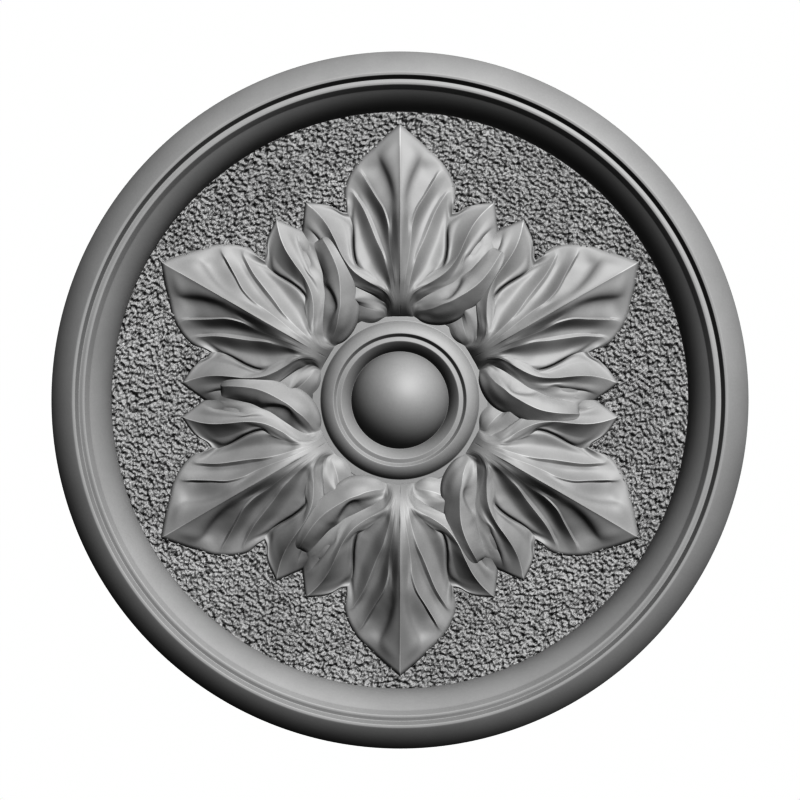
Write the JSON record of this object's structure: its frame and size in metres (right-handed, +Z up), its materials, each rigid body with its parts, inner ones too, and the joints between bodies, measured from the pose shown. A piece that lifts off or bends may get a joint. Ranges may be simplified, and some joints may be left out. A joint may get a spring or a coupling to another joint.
{
  "type": "carved rosette",
  "caption": "round carved rosette with overlapping fluted leaves around a domed boss, on a stippled ground in a turned frame, made to be fixed flat against a wall, ceiling or panel",
  "frame": {"origin": "centre of the flat back face, where the rosette is fixed", "axes": "front faces -Y and the back faces +Y, +Z up through one leaf's tip, +X to the right as seen from the front"},
  "size_m": [0.24, 0.028, 0.24],
  "materials": {
    "stone": "honed, with a soft sheen"
  },
  "bodies": {
    "root": {"rosette": "stone"}
  },
  "joints": []
}
